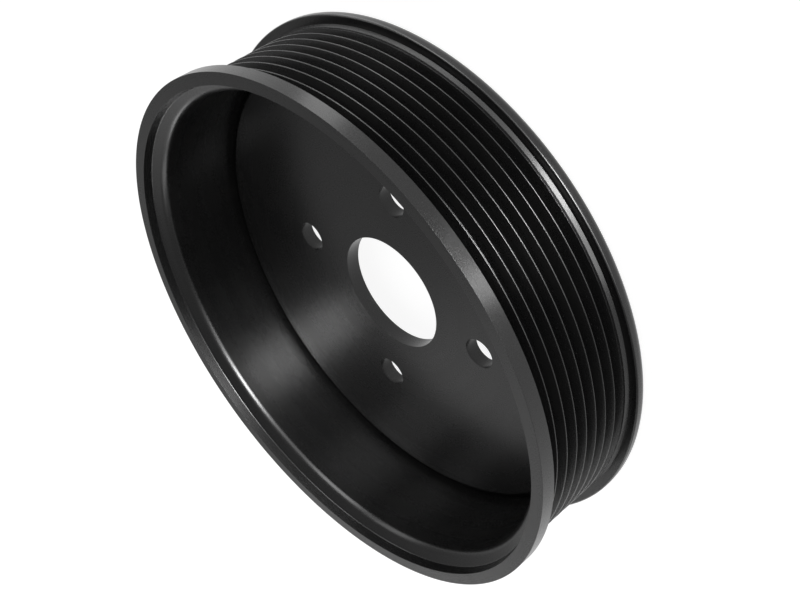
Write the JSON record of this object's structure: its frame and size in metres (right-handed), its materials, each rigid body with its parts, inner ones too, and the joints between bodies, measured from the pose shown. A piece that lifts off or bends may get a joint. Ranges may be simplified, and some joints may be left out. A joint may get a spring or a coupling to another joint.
{
  "type": "grooved pulley",
  "caption": "Black ribbed-belt pulley with a flange at each end, a deep open cup with a stepped mouth, and a dished web with a centre bore and bolt holes.",
  "frame": {"origin": "centre of the rear face that the pulley lies on", "axes": "+Z along the axis of rotation, towards the open front; +X and +Y through the bolt holes"},
  "size_m": [0.153, 0.153, 0.039],
  "materials": {
    "black_anodised_aluminium": "satin black anodised, fine turned"
  },
  "bodies": {
    "root": {"pulley": "black_anodised_aluminium"}
  },
  "joints": []
}
